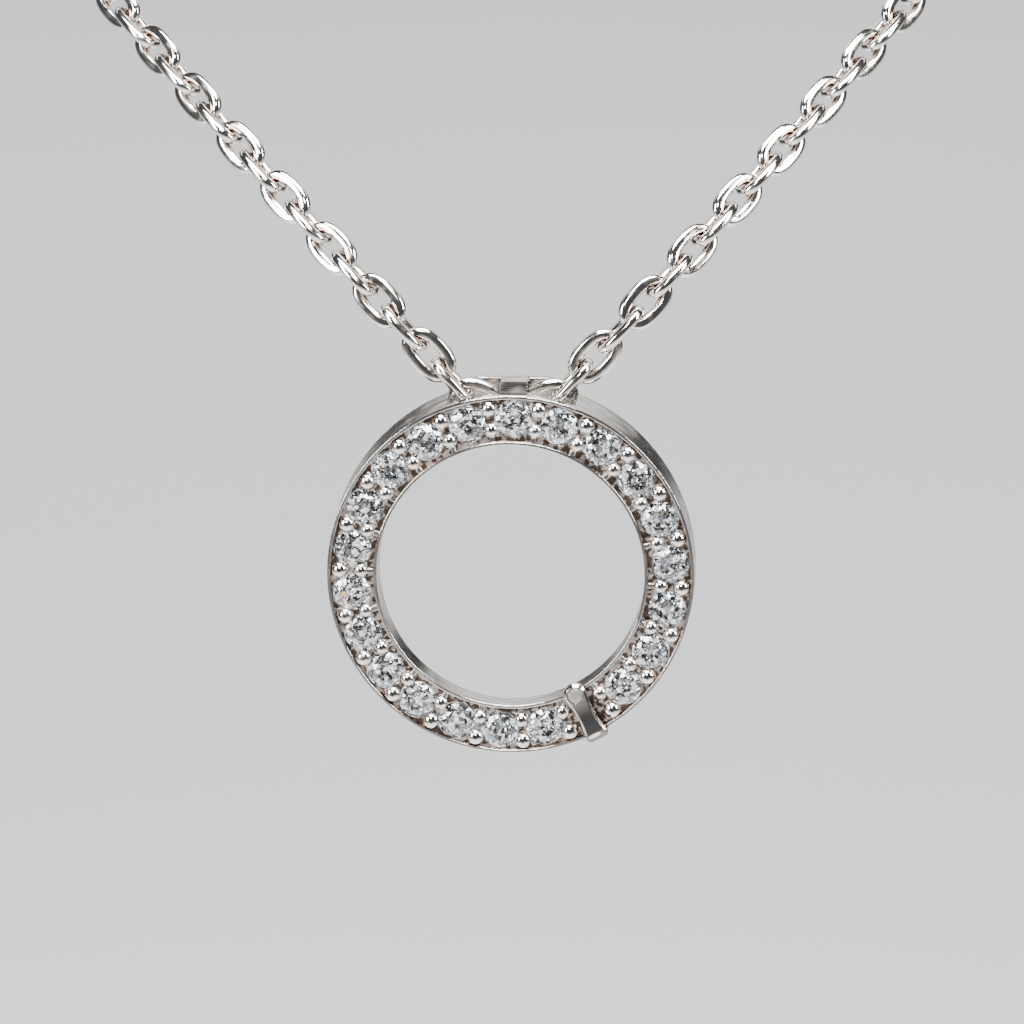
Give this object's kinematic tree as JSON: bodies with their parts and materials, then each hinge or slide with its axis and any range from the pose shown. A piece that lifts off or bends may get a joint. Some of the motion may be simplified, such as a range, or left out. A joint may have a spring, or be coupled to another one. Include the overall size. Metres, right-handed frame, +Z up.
{
  "type": "open circle pendant necklace",
  "caption": "Open circle pendant with a channel of bead-set round stones and one plain pinned bar, hung through a hidden passage on a fine faceted cable chain with a clasp at the nape.",
  "frame": {"origin": "middle of the clasp at the nape of the neck, where the necklace hangs", "axes": "+Z up, the ring's front faces -Y and is turned a little to the left, +X to the right as seen from the front"},
  "size_m": [0.1196, 0.1228, 0.0873],
  "materials": {
    "white_metal": "rhodium-bright polished white metal, cast and hand finished",
    "chain_metal": "polished white metal wire, faceted and soldered link by link",
    "bar_metal": "polished white metal with fine wear marks",
    "clear_stone": "clear cut stone, polished facets"
  },
  "bodies": {
    "necklace": {"chain_front": "chain_metal", "chain_back": "chain_metal", "clasp": "white_metal"},
    "pendant": {"bar_pin": "bar_metal", "plain_bar": "bar_metal", "setting": "white_metal", "stone_01": "clear_stone", "stone_02": "clear_stone", "stone_03": "clear_stone", "stone_04": "clear_stone", "stone_05": "clear_stone", "stone_06": "clear_stone", "stone_07": "clear_stone", "stone_08": "clear_stone", "stone_09": "clear_stone", "stone_10": "clear_stone", "stone_11": "clear_stone", "stone_12": "clear_stone", "stone_13": "clear_stone", "stone_14": "clear_stone", "stone_15": "clear_stone", "stone_16": "clear_stone", "stone_17": "clear_stone", "stone_18": "clear_stone", "stone_19": "clear_stone", "stone_20": "clear_stone", "stone_21": "clear_stone"}
  },
  "joints": [
    {"name": "chain_swing", "type": "hinge", "parent": "necklace", "child": "pendant", "pos_m": [0, -0.12, -0.0706], "axis": [0.9986, -0.0523, 0], "range_deg": [-12, 12]}
  ]
}
